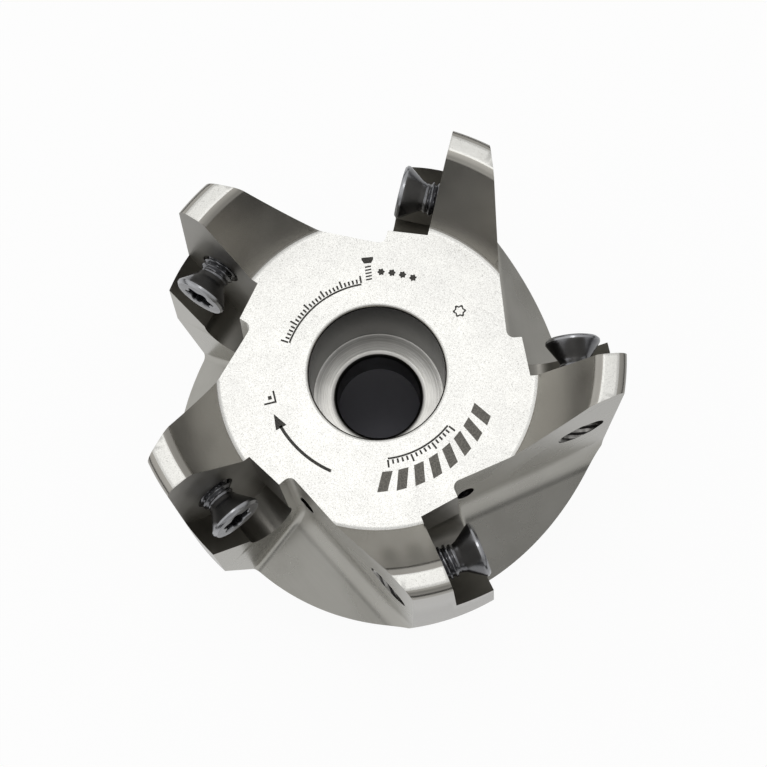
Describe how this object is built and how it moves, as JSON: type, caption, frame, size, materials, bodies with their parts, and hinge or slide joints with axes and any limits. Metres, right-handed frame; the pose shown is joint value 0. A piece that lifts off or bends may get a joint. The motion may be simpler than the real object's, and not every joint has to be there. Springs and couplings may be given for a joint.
{
  "type": "face mill",
  "caption": "Right-hand indexable face mill body with empty rhombic insert pockets, gullets, coolant holes, a counterbored bolt seat and countersunk insert screws.",
  "frame": {"origin": "centre of mass of the cutter with its screws, on the spindle axis, 20.2 mm above the rear locating face", "axes": "+Z along the spindle axis from the rear locating face to the cutting end; +X towards pocket 1; +Y the way pocket 1 cuts"},
  "size_m": [0.0588, 0.0599, 0.049],
  "materials": {
    "satin_nickel": "satin nickel plated steel",
    "gunmetal": "black oxide steel"
  },
  "bodies": {
    "body": {"cutter_body": "satin_nickel"},
    "screw_1": {"insert_screw_1": "gunmetal"},
    "screw_2": {"insert_screw_2": "gunmetal"},
    "screw_3": {"insert_screw_3": "gunmetal"},
    "screw_4": {"insert_screw_4": "gunmetal"},
    "screw_5": {"insert_screw_5": "gunmetal"}
  },
  "joints": [
    {"name": "insert_screw_1_travel", "type": "slide", "parent": "body", "child": "screw_1", "axis": [0.0349, 0.998, 0.0523], "range_m": [-0.0027, 0.01]},
    {"name": "insert_screw_2_travel", "type": "slide", "parent": "body", "child": "screw_2", "axis": [-0.9384, 0.3416, 0.0523], "range_m": [-0.0027, 0.01]},
    {"name": "insert_screw_3_travel", "type": "slide", "parent": "body", "child": "screw_3", "axis": [-0.6149, -0.7869, 0.0523], "range_m": [-0.0026, 0.01]},
    {"name": "insert_screw_4_travel", "type": "slide", "parent": "body", "child": "screw_4", "axis": [0.5584, -0.8279, 0.0523], "range_m": [-0.0023, 0.01]},
    {"name": "insert_screw_5_travel", "type": "slide", "parent": "body", "child": "screw_5", "axis": [0.96, 0.2752, 0.0523], "range_m": [-0.0032, 0.01]}
  ]
}
